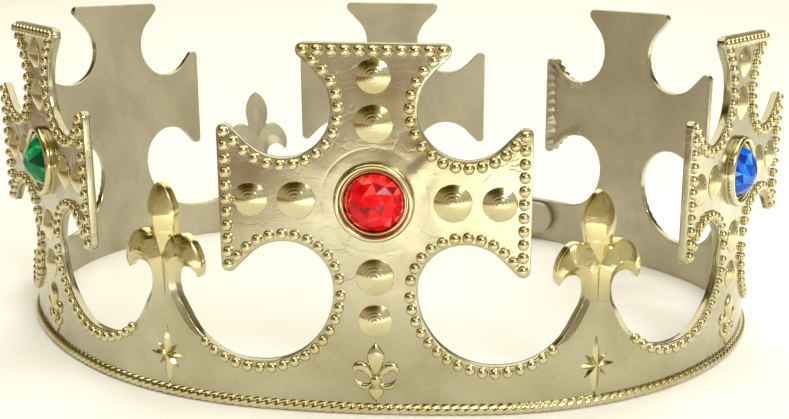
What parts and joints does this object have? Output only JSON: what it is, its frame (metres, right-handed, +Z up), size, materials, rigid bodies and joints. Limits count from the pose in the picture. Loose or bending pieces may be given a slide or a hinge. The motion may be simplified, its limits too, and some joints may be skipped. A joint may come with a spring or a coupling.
{
  "type": "costume crown",
  "caption": "Open costume crown: a bent band with a roped lower edge carries flared crosses set with cut stones and lilies between them, and its two ends peg together at the back",
  "frame": {"origin": "middle of the head opening, on the plane that the bottom edge rests on", "axes": "+Z up the height of the crown; +X to the wearer's left as seen in front, along the front cross; -Y out through the front cross"},
  "size_m": [0.225, 0.182, 0.0832],
  "materials": {
    "gold_plate": "thin vacuum-metallised pale gold over moulded plastic, slightly wavy, softly mirror-like outside and satin inside",
    "gold_relief": "the same pale gold metallising on beads, domes and rims, brighter where it is rounded",
    "stone_red": "clear red acrylic, facet cut, with a bright backing",
    "stone_blue": "clear blue acrylic, facet cut, with a bright backing",
    "stone_green": "clear green acrylic, facet cut, with a bright backing"
  },
  "bodies": {
    "crown_strip": {"cross_back": "gold_plate", "cross_back_left": "gold_plate", "cross_left": "gold_plate", "cross_front": "gold_plate", "cross_right": "gold_plate", "cross_back_right": "gold_plate", "setting_back": "gold_relief", "setting_back_left": "gold_relief", "setting_left": "gold_relief", "setting_front": "gold_relief", "setting_right": "gold_relief", "setting_back_right": "gold_relief", "stone_back": "stone_red", "stone_back_left": "stone_blue", "stone_left": "stone_green", "stone_front": "stone_red", "stone_right": "stone_blue", "stone_back_right": "stone_green", "domes_back": "gold_relief", "domes_back_left": "gold_relief", "domes_left": "gold_relief", "domes_front": "gold_relief", "domes_right": "gold_relief", "domes_back_right": "gold_relief", "beads_back": "gold_relief", "beads_back_left": "gold_relief", "beads_left": "gold_relief", "beads_front": "gold_relief", "beads_right": "gold_relief", "beads_back_right": "gold_relief", "band_back": "gold_plate", "band_back_left": "gold_plate", "band_left": "gold_plate", "band_front": "gold_plate", "band_right": "gold_plate", "band_back_right": "gold_plate", "band_left_rear": "gold_plate", "band_left_side": "gold_plate", "band_left_front": "gold_plate", "band_right_front": "gold_plate", "band_right_side": "gold_plate", "lily_left_rear": "gold_plate", "lily_left_side": "gold_plate", "lily_left_front": "gold_plate", "lily_right_front": "gold_plate", "lily_right_side": "gold_plate", "band_beads": "gold_relief", "foot_lilies": "gold_relief", "stars": "gold_relief", "rope_edge": "gold_relief"},
    "outer_end": {"closure_flap": "gold_plate", "flap_rope": "gold_relief", "flap_pegs": "gold_plate"},
    "inner_tongue": {"closure_tongue": "gold_plate"}
  },
  "joints": [
    {"name": "outer_end_flex", "type": "hinge", "parent": "crown_strip", "child": "outer_end", "pos_m": [0.05809, 0.06416, 0], "axis": [0, 0, -1], "range_deg": [0, 35], "stiffness_Nm_per_rad": 0.05},
    {"name": "inner_tongue_flex", "type": "hinge", "parent": "crown_strip", "child": "inner_tongue", "pos_m": [0.019, 0.08067, 0.0087], "axis": [0, 0, -1], "range_deg": [0, 25], "stiffness_Nm_per_rad": 0.05}
  ]
}
